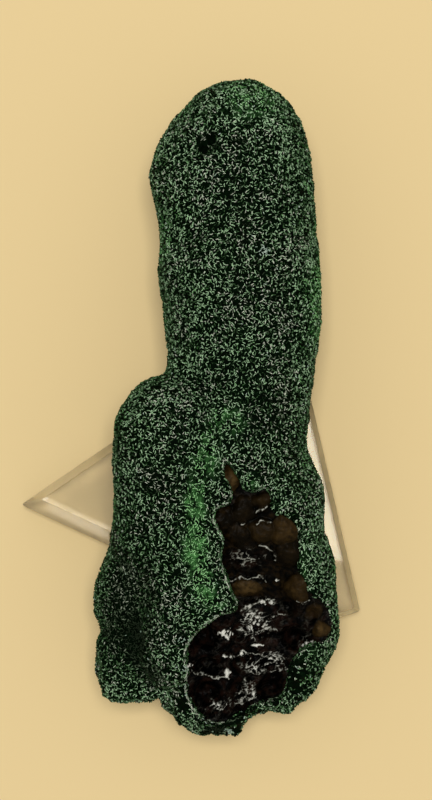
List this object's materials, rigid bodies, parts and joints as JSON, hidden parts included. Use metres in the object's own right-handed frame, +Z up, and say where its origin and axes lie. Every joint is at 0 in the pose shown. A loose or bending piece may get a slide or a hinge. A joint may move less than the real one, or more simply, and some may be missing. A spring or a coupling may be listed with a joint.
{
  "type": "malachite specimen on a display stand",
  "caption": "Long rounded stalactitic malachite with a side column and a broken hollow lined with brown knobs, lying on a clear bevelled three-cornered stand.",
  "frame": {"origin": "middle of the stand's flat underside", "axes": "+Z up from the resting surface, +Y along the stone towards its rounded tip, +X to the right as seen from above"},
  "size_m": [0.0774, 0.1448, 0.0444],
  "materials": {
    "malachite": "velvety dark green, finely granular",
    "hollow_crust": "dark brown, knobbly and slightly glossy, with pale edges",
    "stand": "clear, polished, with bevelled edges"
  },
  "bodies": {
    "root": {"malachite": "malachite", "hollow_crust": "hollow_crust", "stand": "stand"}
  },
  "joints": []
}
